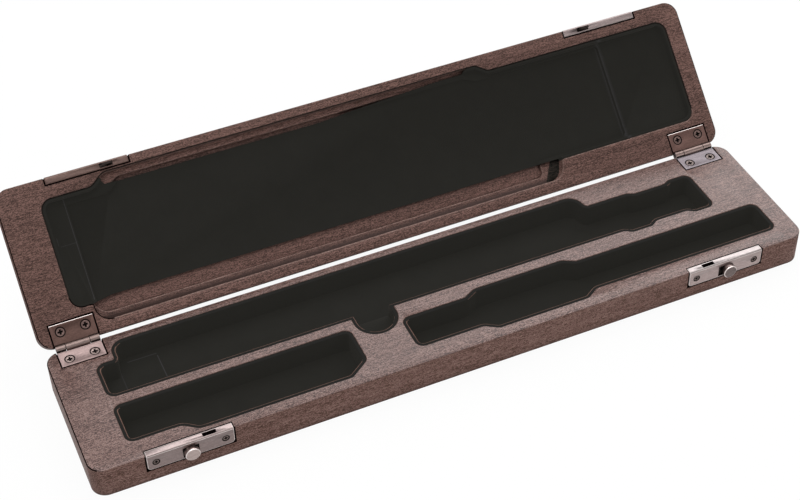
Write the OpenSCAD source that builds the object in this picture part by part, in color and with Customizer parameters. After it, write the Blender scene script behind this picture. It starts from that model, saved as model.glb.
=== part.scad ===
/* [Case] */
// Length of the case
case_l = 408; // [406:1:440]
// Depth of the case from its front to the hinge side
case_w = 87; // [86.5:0.5:100]
// Height of the base
base_h = 18.8; // [17.5:0.1:26]
// Height of the lid
lid_h = 13.5; // [12.5:0.1:20]
// Radius of the standing corners
corner_r = 8; // [4:0.5:12]
// Gap between the two rims when the case is closed
rim_gap = 0.6; // [0.4:0.1:1]
// Angle to which the lid opens
lid_open = 136.7; // [100:0.1:150]
// Wood left under the pockets of the base
floor_t = 4.5; // [3:0.1:5.5]
// Wood between the left end of the case and the pockets
end_wall = 22.1; // [20:0.1:24]

/* [Body pocket] */
// Wood between the pocket and the right end of the case
body_end_wall = 31.9; // [31:0.1:36]
// Share of the room across the case that this pocket takes
body_share = 0.538; // [0.52:0.001:0.545]
// Wood between the pocket and the hinge side
body_back_wall = 4.6; // [4:0.1:5]
// Radius of the wide part's two back corners
body_r = 8; // [5:0.5:9]
// Radius of the pocket's left corners
tenon_r = 5.6; // [4:0.1:8]
// Length of the narrow stub at the left end
tenon_l = 11; // [9.5:0.1:12]
// How far the stub's back edge is set in
tenon_step = 12.7; // [11.5:0.1:13]
// Length of the narrow part at the right end
neck_l = 69; // [63:0.5:72]
// How far the narrow part's back edge is set in
neck_step = 10.7; // [9.5:0.1:11.5]
// How far the wall between wide and narrow part leans
neck_lean = 3; // [2:0.1:4]
// Radius of the narrow part's right corners
neck_r = 4.5; // [3:0.1:5]
// Length of each of the two bulges in the narrow part
bulge_l = 13; // [11:0.1:14]
// How far the bulges stand out to the front
bulge_h = 2.8; // [1.5:0.1:3.2]
// Length of the waist between the bulges
waist_l = 20; // [16:0.5:22]
// How far the waist's back edge is set in
waist_h = 2; // [1:0.1:2.5]
// Length of each slope between waist and bulge
waist_lean = 3.5; // [3.3:0.1:4]

/* [Foot pocket] */
// Wood between the front pockets and the body pocket
rib_w = 5.8; // [5.5:0.1:7]
// Wood between the pocket and the front of the case
foot_front_wall = 6.3; // [6:0.1:7]
// Radius of the pocket's corners
foot_r = 4.6; // [3:0.1:6]
// Length of the narrow left end
hump_l = 28.4; // [24:0.1:32]
// How far the narrow end's front edge is set in
hump_h = 5.9; // [4:0.1:7]
// Length of the slope beside the narrow end
hump_lean = 7.5; // [7:0.1:9]
// Radius of that slope's two bends
hump_r = 7.5; // [5:0.1:8]
// Length of the slanting cut at the right corner
foot_cut_l = 11.4; // [9:0.1:13]
// Depth of the slanting cut at the right corner
foot_cut_h = 8.3; // [6:0.1:9]

/* [Head pocket] */
// Share of the room along the case that this pocket takes from the foot pocket
head_share = 0.6275; // [0.61:0.0005:0.63]
// Share of the foot pocket's width that this one has at the bare tube
head_w_share = 0.72; // [0.66:0.01:0.73]
// Wood between the foot pocket and the head pocket
mid_wall = 27.1; // [26.5:0.1:32]
// Wood between the pocket and the front of the case
head_front_wall = 11; // [10.5:0.1:11.5]
// Wood between the pocket and the right end of the case
head_end_wall = 10.9; // [10:0.1:14]
// Radius of the pocket's corners
head_r = 4.8; // [3:0.1:6]
// Length of the wide part for the lip plate
lip_l = 67; // [60:0.5:70]
// Place of the wide part, from the pocket's left end
lip_at = 37.7; // [33:0.1:44]
// How far the wide part stands out to the front
lip_front = 4.6; // [3:0.1:4.8]
// How far the wide part stands out to the back
lip_back = 3.9; // [3:0.1:4.1]
// Length of each slope beside the wide part
lip_lean = 7; // [6.5:0.1:9]
// Radius of the slopes' bends
lip_r = 5; // [3:0.1:6]

/* [Thumb notch] */
// Radius of the half-round notch
notch_r = 12.2; // [10:0.1:12.5]
// Place of the notch, to the right of the middle between the front pockets
notch_at = 2; // [1:0.1:2.5]
// Reach of the notch in front of the body pocket
notch_reach = 16; // [13:0.1:16.5]
// Depth of the notch below the rim
notch_depth = 9.5; // [8:0.1:12]

/* [Lid recess] */
// Depth of the recess to its ledge
ledge_depth = 6; // [4.5:0.1:6.5]
// Depth of the recess to its floor
recess_depth = 8.5; // [7.5:0.1:9.5]
// Wood between the wide recess and the hinge side
lid_back_wall = 6.3; // [6:0.1:7]
// How far the recess ends are set in at the hinge side
lid_back_step = 10.4; // [9.5:0.1:11]
// How much wider than the pockets the recess is at the front
lid_ease = 0.8; // [0.4:0.1:1]
// Radius of the recess's end corners
recess_r = 6; // [4.5:0.1:8]
// Width of the ledge along the hinge side
ledge_back = 4.1; // [3.5:0.1:5]
// Width of the ledge along the front
ledge_front = 3.3; // [3:0.1:4.5]
// Width of the ledge at its right end
ledge_end = 9.1; // [8:0.1:11]
// Radius of the ledge's right corner
ledge_r = 3; // [2:0.1:4]
// Length of the shallow part at the right end
shallow_l = 41.4; // [36:0.1:50]

/* [Velvet] */
// Thickness of the pocket linings' walls
lining_t = 2; // [1.5:0.1:2.5]
// Thickness of the pocket linings' floors
lining_floor_t = 1.2; // [1:0.1:2]
// How far the linings' lips lie below the rim
lip_drop = 0.3; // [0.1:0.1:1]
// Thickness of the lid's lining
lid_lining_t = 1.5; // [1:0.1:2]
// How far the velvet stops short of the recess ends' back edge
bare_back = 2; // [1:0.1:3]
// Wood left bare along the front of the recess, at its widest
bare_front = 5.7; // [4.5:0.1:6.5]
// Wood left bare along the front of the recess, at its slimmest
bare_slim = 2; // [1.8:0.1:2.6]
// Glue gap between velvet and wood
glue_gap = 0.1; // [0.05:0.01:0.15]

/* [Hinges] */
// Length of each hinge
hinge_l = 23.5; // [20:0.5:25]
// Distance of each hinge's middle from the end of the case
hinge_inset = 18.8; // [18:0.1:19.5]
// Reach of each leaf from the back of the wood
leaf_w = 11.8; // [10.5:0.1:12.5]
// Thickness of the leaves
leaf_t = 1.1; // [0.9:0.1:1.2]
// Radius of the hinge barrel
knuckle_r = 2.1; // [1.9:0.05:2.3]
// Radius of the hinge pin
pin_r = 1; // [0.8:0.05:1.2]
// Distance of the hinge axis behind the wood
axis_back = 1.1; // [1:0.1:1.4]
// Share of the barrel's length that the middle knuckle takes
middle_share = 0.54; // [0.4:0.01:0.6]
// Distance between the two screws of a leaf
hinge_screw_pitch = 13.5; // [12:0.1:14]
// Distance of the screws from the back of the wood
hinge_screw_in = 7.4; // [7:0.1:7.8]
// Radius of the hinge screws' heads
hinge_head_r = 2.3; // [2:0.05:2.6]
// Length of the hinge screws
hinge_screw_l = 9; // [7:0.5:10]

/* [Latches] */
// Length of the latch and strike plates
plate_l = 45.4; // [42:0.1:50]
// Distance of each plate's middle from the end of the case
plate_inset = 50.6; // [48:0.1:52]
// Thickness of the plates
plate_t = 0.8; // [0.6:0.05:0.9]
// How far the plates stand out of the wood at the front
plate_proud = 0.3; // [0.1:0.05:0.5]
// Depth of each plate's leg on the rim
flange_w = 3.9; // [3.7:0.1:4.3]
// Height of each plate's leg on the front
leg_h = 10.5; // [10.2:0.1:10.8]
// Radius of the front leg's corners
leg_r = 2; // [1:0.1:2.5]
// Radius of the fold between the two legs
fold_r = 1; // [0.95:0.05:1.3]
// Distance between the two screws of a plate
plate_screw_pitch = 36.2; // [34:0.1:38]
// Distance of the plate screws from the rim
plate_screw_down = 5.8; // [5:0.1:6.5]
// Radius of the plate screws' heads
plate_head_r = 1.5; // [1.3:0.05:1.9]
// Length of the plate screws
plate_screw_l = 4.6; // [4:0.1:4.8]
// Length of the slot for the hook
slot_l = 7.2; // [7:0.1:8]
// Width of the slot for the hook
slot_w = 2.4; // [2.2:0.1:2.5]
// Distance of the slot's middle from the plate's middle
slot_at = 10.5; // [10.3:0.1:11]
// Width of the window that the knob slides in
window_l = 8.6; // [8.4:0.1:9]
// Height of the window that the knob slides in
window_h = 6.8; // [6:0.1:7]
// Distance of the window's middle from the rim
window_down = 6.3; // [6.1:0.1:6.4]
// Radius of the knob
knob_r = 3.9; // [3.5:0.1:4.2]
// How far the knob stands out of the plate
knob_h = 2.9; // [2:0.1:4]
// Radius of the knob's neck
neck_pin_r = 2.5; // [2:0.1:2.6]
// Travel of the knob to each side of the window's middle
travel = 1.7; // [1.5:0.1:1.7]
// Place of the left knob in its window, towards the end of the case
left_at = 0; // [0:0.1:1]
// Place of the right knob in its window, towards the end of the case
right_at = 1.5; // [0:0.1:1.5]
// Thickness of the sliding bolt
bolt_t = 1.3; // [1:0.1:1.4]
// Height of the bolt's nose
nose_h = 1.6; // [1.2:0.1:1.7]
// How far the locked bolt reaches over the hook
grip = 1.3; // [1:0.1:1.3]
// Thickness of the hook
hook_t = 1.2; // [1:0.05:1.3]
// Width of the hook's shank
shank_w = 2.6; // [2:0.1:2.7]
// Length of the hook's nose
hook_nose_l = 2.6; // [2.2:0.1:2.8]
// Height of the hook's nose
hook_nose_h = 1.5; // [1:0.1:1.8]
// Thickness of the leaf spring behind the bolt
spring_t = 0.3; // [0.2:0.05:0.35]
// Length of the leaf spring behind the bolt
spring_l = 12; // [10:0.5:13]
// Height of the leaf spring behind the bolt
spring_h = 4; // [3:0.1:5]

/* [Hidden] */
$fn = 64;

wood_colour = [0.47, 0.39, 0.37];
lid_wood_colour = [0.42, 0.33, 0.31];
velvet_colour = [0.07, 0.07, 0.065];
nickel_colour = [0.66, 0.61, 0.60];
steel_colour = [0.55, 0.52, 0.51];

// One overrun serves every cut
overrun = 0.5;
// Angle between neighbouring points of a rounded corner
arc_angle = 10;
// Least radius left in a rounded corner
least_r = 0.3;
// Bend where a stepped wall meets the edge that it comes from
bend_r = 1.5;
// Clearance round a leaf or plate let into the wood
inlay_gap = 0.4;
// Clearance between a moving piece and what guides it
slide_gap = 0.15;
// Gap between neighbouring knuckles
knuckle_gap = 0.35;
// Radial clearance of a pin or shank in its hole
pin_gap = 0.05;
// Clearance round a turning barrel
barrel_gap = 0.35;
// Width of the dark ring round a countersunk head
ring_w = 0.4;
// How far a screw head lies below the metal round it
head_drop = 0.15;
// Shares of a screw head's radius that its cross takes
cross_l_share = 0.56;
cross_w_share = 0.18;
// Share of a screw head's radius that the shank has
shank_share = 0.5;
// Share of the shank's radius that is left at the point
point_share = 0.25;
// Share of the knob's radius that its rim is rounded by
knob_rim_share = 0.13;

// Faces of the case
left_x = -case_l / 2;
right_x = case_l / 2;
front_y = -case_w / 2;
back_y = case_w / 2;
lid_rim_z = base_h + rim_gap;
axis_y = back_y + axis_back;
axis_z = base_h + rim_gap / 2;
pocket_depth = base_h - floor_t;

// Room for the pockets along and across the case
front_room = case_l - end_wall - mid_wall - head_end_wall;
head_l = front_room * head_share;
foot_l = front_room - head_l;
across_room = case_w - foot_front_wall - rib_w - body_back_wall;
body_w = across_room * body_share;
foot_w = across_room - body_w;
head_w = foot_w * head_w_share;

// Edges of the pockets
pockets_left = left_x + end_wall;
body_right = right_x - body_end_wall;
body_back = back_y - body_back_wall;
body_front = body_back - body_w;
tenon_right = pockets_left + tenon_l;
tenon_back = body_back - tenon_step;
neck_left = body_right - neck_l;
neck_back = body_back - neck_step;
foot_right = pockets_left + foot_l;
foot_front = front_y + foot_front_wall;
foot_back = foot_front + foot_w;
hump_front = foot_front + hump_h;
hump_right = pockets_left + hump_l;
head_right = right_x - head_end_wall;
head_left = head_right - head_l;
head_front = front_y + head_front_wall;
head_back = head_front + head_w;
lip_left = head_left + lip_at;
lip_right = lip_left + lip_l;
notch_x = (foot_right + head_left) / 2 + notch_at;
notch_y = body_front - notch_reach + notch_r;

// Stations along the narrow part of the body pocket, from its right end
end_bulge_x = body_right - bulge_l;
waist_right = end_bulge_x - waist_lean;
waist_left = waist_right - waist_l;
first_bulge_right = waist_left - waist_lean;
first_bulge_left = first_bulge_right - bulge_l;

// Edges of the recess in the lid
recess_back = back_y - lid_back_wall;
recess_end_back = recess_back - lid_back_step;
recess_front = foot_front - lid_ease;
recess_left_front = hump_front - lid_ease;
recess_right_front = head_front - lid_ease;
ledge_right = neck_left - ledge_end;
ledge_left = tenon_right + glue_gap + overrun;
shallow_left = head_right - shallow_l;

// Each corner is its x, its y and the radius that rounds it, in turn anticlockwise
body_corners = [
    [pockets_left, body_front, tenon_r],
    [first_bulge_left - waist_lean, body_front, lip_r],
    [first_bulge_left, body_front - bulge_h, lip_r],
    [first_bulge_right, body_front - bulge_h, lip_r],
    [waist_left, body_front, lip_r],
    [waist_right, body_front, lip_r],
    [end_bulge_x, body_front - bulge_h, lip_r],
    [body_right, body_front - bulge_h, neck_r],
    [body_right, neck_back, neck_r],
    [end_bulge_x, neck_back, lip_r],
    [waist_right, neck_back - waist_h, lip_r],
    [waist_left, neck_back - waist_h, lip_r],
    [first_bulge_right, neck_back, lip_r],
    [neck_left + neck_lean, neck_back, bend_r],
    [neck_left, body_back, body_r],
    [tenon_right, body_back, body_r],
    [tenon_right, tenon_back, bend_r],
    [pockets_left, tenon_back, tenon_r]];
foot_corners = [
    [pockets_left, hump_front, foot_r],
    [hump_right, hump_front, hump_r],
    [hump_right + hump_lean, foot_front, hump_r],
    [foot_right - foot_cut_l, foot_front, foot_r],
    [foot_right, foot_front + foot_cut_h, foot_r],
    [foot_right, foot_back, foot_r],
    [pockets_left, foot_back, foot_r]];
head_corners = [
    [head_left, head_front, head_r],
    [lip_left, head_front, lip_r],
    [lip_left + lip_lean, head_front - lip_front, lip_r],
    [lip_right - lip_lean, head_front - lip_front, lip_r],
    [lip_right, head_front, lip_r],
    [head_right, head_front, head_r],
    [head_right, head_back, head_r],
    [lip_right, head_back, bend_r],
    [lip_right - lip_lean, head_back + lip_back, lip_r],
    [lip_left + lip_lean, head_back + lip_back, lip_r],
    [lip_left, head_back, lip_r],
    [head_left, head_back, head_r]];
recess_corners = [
    [pockets_left, recess_left_front, recess_r],
    [hump_right, recess_left_front, hump_r],
    [hump_right + hump_lean, recess_front, hump_r],
    [lip_right - lip_lean, recess_front, lip_r],
    [lip_right, recess_right_front, lip_r],
    [head_right, recess_right_front, recess_r],
    [head_right, recess_end_back, recess_r],
    [neck_left + neck_lean, recess_end_back, bend_r],
    [neck_left, recess_back, body_r],
    [tenon_right, recess_back, body_r],
    [tenon_right, recess_end_back, bend_r],
    [pockets_left, recess_end_back, recess_r]];
deep_corners = [
    [ledge_left, recess_left_front + ledge_front, ledge_r],
    [hump_right + hump_lean, recess_left_front + ledge_front, ledge_r],
    [hump_right + 2 * hump_lean, recess_front + ledge_front, ledge_r],
    [lip_right - 2 * lip_lean, recess_front + ledge_front, ledge_r],
    [lip_right - lip_lean, recess_right_front + bend_r, ledge_r],
    [shallow_left, recess_right_front + bend_r, ledge_r],
    [shallow_left, recess_end_back - bend_r, ledge_r],
    [ledge_right, recess_end_back - bend_r, bend_r],
    [ledge_right, recess_back - ledge_back, ledge_r],
    [ledge_left, recess_back - ledge_back, body_r]];
// Reach of the lid's velvet: past the walls at both ends, and short of them along the sides
velvet_corners = [
    [left_x, front_y, least_r],
    [hump_right, front_y, least_r],
    [hump_right + hump_lean, recess_front + bare_front, least_r],
    [lip_left - lip_at, recess_front + bare_front, least_r],
    [lip_left + lip_at, recess_front + bare_slim, least_r],
    [lip_right - 2 * lip_lean, recess_front + bare_slim, least_r],
    [lip_right - lip_lean, front_y, least_r],
    [right_x, front_y, least_r],
    [right_x, back_y, least_r],
    [neck_left + neck_lean, back_y, least_r],
    [neck_left + neck_lean, recess_end_back - bare_slim / 2, least_r],
    [tenon_right + tenon_l, recess_end_back - bare_back, least_r],
    [tenon_right, recess_end_back, least_r],
    [left_x, recess_end_back, least_r]];

// Lengths of the hinges' knuckles
middle_half = hinge_l * middle_share / 2;
outer_l = hinge_l / 2 - middle_half - knuckle_gap;

// Latch places, measured from the plate's middle and towards the end of the case
plate_back_y = front_y - plate_proud + plate_t;
bolt_front_y = plate_back_y + slide_gap;
bolt_back_y = bolt_front_y + bolt_t;
mortise_back_y = plate_back_y + slot_w;
hook_y = plate_back_y + (slot_w - hook_t) / 2;
slot_in = -slot_at - slot_l / 2;
slot_out = -slot_at + slot_l / 2;
hook_in = slot_in + (slot_l - shank_w - hook_nose_l) / 2 - slide_gap;
shank_out = hook_in + shank_w;
hook_out = shank_out + hook_nose_l;
nose_tip = hook_out - grip + travel;
bolt_z = base_h - plate_t - slide_gap;
bolt_low_z = base_h - window_down - window_h / 2 + slide_gap;
bolt_in = -window_l / 2 - travel;
bolt_out = window_l / 2 + neck_pin_r + overrun;
mortise_out = bolt_out + travel + overrun;
mortise_low_z = base_h - leg_h + overrun;
hook_tip_z = bolt_z - nose_h - slide_gap - hook_nose_h;

function unit(v) = v / norm(v);
function xy(corner) = [corner[0], corner[1]];
function turn_between(a, b) = atan2(a[0] * b[1] - a[1] * b[0], a * b);
function turned(v, angle) = [v[0] * cos(angle) - v[1] * sin(angle), v[0] * sin(angle) + v[1] * cos(angle)];
function wrapped(list, i) = list[(i + len(list)) % len(list)];

// Points that round the corner of an outline with an arc
function corner_arc(before, at, after, r) =
    let (a = unit(at - before), b = unit(after - at), turn = turn_between(a, b))
    let (start = at - a * r * tan(abs(turn) / 2))
    let (centre = start + turned(a, 90) * sign(turn) * r)
    let (steps = max(1, ceil(abs(turn) / arc_angle)))
    [for (k = [0:steps]) centre + turned(start - centre, turn * k / steps)];

// Points of a whole outline with its corners rounded
function rounded(corners) =
    [for (i = [0:len(corners) - 1])
        each corner_arc(xy(wrapped(corners, i - 1)), xy(corners[i]), xy(wrapped(corners, i + 1)), corners[i][2])];

// The same corners with every edge moved inwards, which tightens outer bends and eases inner ones
function inset(corners, by) =
    [for (i = [0:len(corners) - 1])
        let (at = xy(corners[i]))
        let (a = unit(at - xy(wrapped(corners, i - 1))), b = unit(xy(wrapped(corners, i + 1)) - at))
        let (na = turned(a, 90), nb = turned(b, 90))
        let (moved = at + by * (na + nb) / (1 + na * nb))
        [moved[0], moved[1], max(least_r, corners[i][2] - by * sign(turn_between(a, b)))]];

// Upright solid on an outline, from one height to another
module prism(corners, low_z, high_z) {
    translate([0, 0, low_z])
        linear_extrude(high_z - low_z)
            polygon(rounded(corners));
}

// Box between two corners
module block(low, high) {
    translate(low)
        cube(high - low);
}

// Slab with rounded standing corners, from one height to another
module slab(low_z, high_z) {
    translate([0, 0, low_z])
        linear_extrude(high_z - low_z) {
            square([case_l - 2 * corner_r, case_w], center = true);
            square([case_l, case_w - 2 * corner_r], center = true);
            for (x = [left_x + corner_r, right_x - corner_r])
                for (y = [front_y + corner_r, back_y - corner_r])
                    translate([x, y])
                        circle(corner_r);
        }
}

// Turns what is drawn closed to the open lid's place
module opened() {
    translate([0, axis_y, axis_z])
        rotate([-lid_open, 0, 0])
            translate([0, -axis_y, -axis_z])
                children();
}

// Copies a left or right fitting from the plate's middle to its end of the case
module at_latch(side) {
    mirror([side < 0 ? 1 : 0, 0, 0])
        translate([right_x - plate_inset, 0, 0])
            children();
}

module at_hinge(side) {
    translate([side * (right_x - hinge_inset), 0, 0])
        children();
}

// Mirrors what is drawn on the base's rim to the lid's rim
module on_lid() {
    translate([0, 0, base_h + lid_rim_z])
        mirror([0, 0, 1])
            children();
}

// Countersunk wood screw, its head's face at the origin and its point below
module wood_screw(head_r, length) {
    shank_r = head_r * shank_share;
    head_h = head_r - shank_r;
    tip_h = 2 * shank_r;
    arm_l = head_r * cross_l_share;
    arm_w = head_r * cross_w_share;
    difference() {
        union() {
            translate([0, 0, -head_h])
                cylinder(head_h, shank_r, head_r);
            translate([0, 0, tip_h - length])
                cylinder(length - tip_h, shank_r, shank_r);
            translate([0, 0, -length])
                cylinder(tip_h, shank_r * point_share, shank_r);
        }
        for (turn = [0, 90])
            rotate(turn)
                block([-arm_l, -arm_w, -head_h], [arm_l, arm_w, overrun]);
    }
}

// Hole for that screw, with the ring that stays dark round its head
module screw_hole(head_r, length) {
    shank_r = head_r * shank_share;
    cone_h = head_r - shank_r + head_drop;
    translate([0, 0, -cone_h])
        cylinder(cone_h + head_drop, shank_r + ring_w, head_r + ring_w + 2 * head_drop);
    translate([0, 0, -length - head_drop - pin_gap])
        cylinder(length + head_drop, shank_r + pin_gap, shank_r + pin_gap);
}

// Places of the two screws in a leaf, on the base's rim
module hinge_screw_places(side) {
    at_hinge(side)
        for (x = [-hinge_screw_pitch / 2, hinge_screw_pitch / 2])
            translate([x, back_y - hinge_screw_in, base_h])
                children();
}

// Places of the two screws in a plate's leg, on the front of the base
module plate_screw_places(side) {
    at_latch(side)
        for (x = [-plate_screw_pitch / 2, plate_screw_pitch / 2])
            translate([x, front_y - plate_proud, base_h - plate_screw_down])
                rotate([90, 0, 0])
                    children();
}

// Room for a leaf and the barrel, cut out of the base's rim
module hinge_seat(side) {
    half_l = hinge_l / 2 + inlay_gap;
    at_hinge(side) {
        block([-half_l, back_y - leaf_w - inlay_gap, base_h - leaf_t],
            [half_l, back_y + overrun, base_h + overrun]);
        translate([-half_l, axis_y, axis_z])
            rotate([0, 90, 0])
                cylinder(2 * half_l, knuckle_r + barrel_gap, knuckle_r + barrel_gap);
    }
    hinge_screw_places(side)
        screw_hole(hinge_head_r, hinge_screw_l);
}

// Room for a plate, cut out of the base's front edge
module plate_seat(side) {
    half_l = plate_l / 2 + inlay_gap;
    at_latch(side) {
        block([-half_l, front_y - overrun, base_h - plate_t],
            [half_l, front_y - plate_proud + flange_w + inlay_gap, base_h + overrun]);
        block([-half_l, front_y - overrun, base_h - leg_h - inlay_gap],
            [half_l, plate_back_y, base_h + overrun]);
    }
    plate_screw_places(side)
        screw_hole(plate_head_r, plate_screw_l);
}

module base_shell() {
    color(wood_colour)
        difference() {
            slab(0, base_h);
            prism(body_corners, floor_t, base_h + overrun);
            prism(foot_corners, floor_t, base_h + overrun);
            prism(head_corners, floor_t, base_h + overrun);
            notch_room(0, base_h - notch_depth, base_h + overrun);
            for (side = [-1, 1]) {
                hinge_seat(side);
                plate_seat(side);
                at_latch(side)
                    block([slot_in - slide_gap, plate_back_y - overrun, mortise_low_z],
                        [mortise_out, mortise_back_y, base_h]);
            }
        }
}

// The half-round notch and its way into the body pocket, drawn smaller by a margin
module notch_room(margin, low_z, high_z) {
    r = notch_r - margin;
    translate([notch_x, notch_y, low_z])
        cylinder(high_z - low_z, r, r);
    block([notch_x - r, notch_y, low_z], [notch_x + r, body_front + tenon_r, high_z]);
}

// Velvet shell of a pocket, open at the top
module pocket_lining(corners) {
    prism(inset(corners, glue_gap), floor_t + glue_gap, base_h - lip_drop);
}

module pocket_hollow(corners) {
    prism(inset(corners, glue_gap + lining_t), floor_t + glue_gap + lining_floor_t, base_h + overrun);
}

module body_pocket_lining() {
    color(velvet_colour)
        difference() {
            union() {
                pocket_lining(body_corners);
                notch_room(glue_gap, base_h - notch_depth + glue_gap, base_h - lip_drop);
            }
            pocket_hollow(body_corners);
            notch_room(glue_gap + lining_t, base_h - notch_depth + glue_gap + lining_floor_t, base_h + overrun);
        }
}

module foot_pocket_lining() {
    color(velvet_colour)
        difference() {
            pocket_lining(foot_corners);
            pocket_hollow(foot_corners);
        }
}

module head_pocket_lining() {
    color(velvet_colour)
        difference() {
            pocket_lining(head_corners);
            pocket_hollow(head_corners);
        }
}

module lid_shell() {
    color(lid_wood_colour)
        opened()
            difference() {
                slab(lid_rim_z, lid_rim_z + lid_h);
                prism(recess_corners, lid_rim_z - overrun, lid_rim_z + ledge_depth);
                prism(deep_corners, lid_rim_z, lid_rim_z + recess_depth);
                on_lid()
                    for (side = [-1, 1]) {
                        hinge_seat(side);
                        plate_seat(side);
                        at_latch(side)
                            block([slot_in - shank_w, plate_back_y - overrun, base_h - 2 * plate_t - hook_t],
                                [slot_out + shank_w, mortise_back_y, base_h]);
                    }
            }
}

module lid_lining() {
    ledge_z = lid_rim_z + ledge_depth - glue_gap;
    deep_z = lid_rim_z + recess_depth - glue_gap;
    color(velvet_colour)
        opened()
            difference() {
                intersection() {
                    union() {
                        prism(inset(recess_corners, glue_gap), lid_rim_z + lip_drop, ledge_z);
                        prism(inset(deep_corners, glue_gap), ledge_z - lid_lining_t, deep_z);
                    }
                    prism(velvet_corners, lid_rim_z, deep_z + overrun);
                }
                prism(inset(recess_corners, glue_gap + lid_lining_t), lid_rim_z, ledge_z - lid_lining_t);
                prism(inset(deep_corners, glue_gap + lid_lining_t), lid_rim_z, deep_z - lid_lining_t);
            }
}

// One leaf of a hinge on the base's rim, with the outer or the middle knuckles
module hinge_leaf(side, outer) {
    at_hinge(side)
        difference() {
            union() {
                block([-hinge_l / 2, back_y - leaf_w, base_h - leaf_t], [hinge_l / 2, axis_y, base_h]);
                if (outer)
                    for (x = [-hinge_l / 2, hinge_l / 2 - outer_l])
                        barrel(x, outer_l, knuckle_r);
                else
                    barrel(-middle_half, 2 * middle_half, knuckle_r);
            }
            barrel(-hinge_l / 2 - overrun, hinge_l + 2 * overrun, pin_r + pin_gap);
            if (outer)
                barrel(-middle_half - knuckle_gap, 2 * middle_half + 2 * knuckle_gap, knuckle_r + barrel_gap);
            else
                for (x = [-hinge_l / 2 - overrun, middle_half])
                    barrel(x, outer_l + knuckle_gap + overrun, knuckle_r + barrel_gap);
            for (x = [-hinge_screw_pitch / 2, hinge_screw_pitch / 2])
                translate([x, back_y - hinge_screw_in, base_h])
                    screw_hole(hinge_head_r, hinge_screw_l);
        }
}

// Cylinder about the hinge axis, from one station along it
module barrel(x, length, r) {
    translate([x, axis_y, axis_z])
        rotate([0, 90, 0])
            cylinder(length, r, r);
}

module hinge_base_leaf(side) {
    color(nickel_colour)
        hinge_leaf(side, true);
}

module hinge_lid_leaf(side) {
    color(nickel_colour)
        opened()
            on_lid()
                hinge_leaf(side, false);
}

module hinge_pin(side) {
    color(steel_colour)
        at_hinge(side)
            barrel(-hinge_l / 2, hinge_l, pin_r);
}

module hinge_screws(side) {
    color(steel_colour)
        hinge_screw_places(side)
            translate([0, 0, -head_drop])
                wood_screw(hinge_head_r, hinge_screw_l);
}

module plate_screws(side) {
    color(steel_colour)
        plate_screw_places(side)
            translate([0, 0, -head_drop])
                wood_screw(plate_head_r, plate_screw_l);
}

// Folded plate on the base's front edge, with its slot
module folded_plate(side) {
    half_l = plate_l / 2;
    out_y = front_y - plate_proud;
    at_latch(side)
        difference() {
            intersection() {
                translate([-half_l, 0, 0])
                    rotate([90, 0, 90])
                        linear_extrude(plate_l)
                            difference() {
                                fold_outline(out_y);
                                translate([out_y + plate_t, base_h - leg_h - overrun])
                                    square([flange_w, leg_h + overrun - plate_t]);
                            }
                union() {
                    block([-half_l, out_y - overrun, base_h - leg_h + leg_r],
                        [half_l, out_y + flange_w, base_h + overrun]);
                    block([leg_r - half_l, out_y - overrun, base_h - leg_h],
                        [half_l - leg_r, out_y + flange_w, base_h + overrun]);
                    for (x = [leg_r - half_l, half_l - leg_r])
                        translate([x, out_y + plate_t + overrun, base_h - leg_h + leg_r])
                            rotate([90, 0, 0])
                                cylinder(plate_t + 2 * overrun, leg_r, leg_r);
                }
            }
            block([slot_in, plate_back_y, base_h - plate_t - overrun],
                [slot_out, mortise_back_y, base_h + overrun]);
            for (x = [-plate_screw_pitch / 2, plate_screw_pitch / 2])
                translate([x, out_y, base_h - plate_screw_down])
                    rotate([90, 0, 0])
                        screw_hole(plate_head_r, plate_screw_l);
        }
}

// Side view of a plate's outer faces, with the fold rounded
module fold_outline(out_y) {
    low_z = base_h - leg_h;
    translate([out_y, low_z])
        square([flange_w, leg_h - fold_r]);
    translate([out_y + fold_r, low_z])
        square([flange_w - fold_r, leg_h]);
    translate([out_y + fold_r, base_h - fold_r])
        circle(fold_r);
}

module latch_plate(side) {
    color(nickel_colour)
        difference() {
            folded_plate(side);
            at_latch(side)
                block([-window_l / 2, front_y - plate_proud - overrun, base_h - window_down - window_h / 2],
                    [window_l / 2, plate_back_y + overrun, base_h - window_down + window_h / 2]);
        }
}

module strike_plate(side) {
    color(nickel_colour)
        opened()
            on_lid()
                folded_plate(side);
}

module latch_bolt(side, at) {
    rivet_r = neck_pin_r / 2;
    color(steel_colour)
        at_latch(side)
            translate([at, 0, 0])
                difference() {
                    union() {
                        block([nose_tip, bolt_front_y, bolt_z - nose_h], [bolt_out, bolt_back_y, bolt_z]);
                        block([bolt_in, bolt_front_y, bolt_low_z], [bolt_out, bolt_back_y, bolt_z]);
                    }
                    knob_pin(bolt_back_y + overrun, rivet_r + pin_gap);
                }
}

// Cylinder about the knob's axis, from the front of the wood to a depth
module knob_pin(deep_y, r) {
    translate([0, deep_y, base_h - window_down])
        rotate([90, 0, 0])
            cylinder(deep_y - front_y, r, r);
}

module latch_knob(side, at) {
    face_y = front_y - plate_proud - slide_gap;
    rivet_r = neck_pin_r / 2;
    rim_r = knob_r * knob_rim_share;
    color(nickel_colour)
        at_latch(side)
            translate([at, 0, 0]) {
                // Turned head with a rounded rim
                translate([0, face_y, base_h - window_down])
                    rotate([90, 0, 0])
                        rotate_extrude() {
                            square([knob_r - rim_r, knob_h]);
                            square([knob_r, knob_h - rim_r]);
                            translate([knob_r - rim_r, knob_h - rim_r])
                                circle(rim_r);
                        }
                // Neck through the window
                translate([0, bolt_front_y, base_h - window_down])
                    rotate([90, 0, 0])
                        cylinder(bolt_front_y - face_y, neck_pin_r, neck_pin_r);
                // Rivet through the bolt
                knob_pin(bolt_back_y, rivet_r);
            }
}

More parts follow.
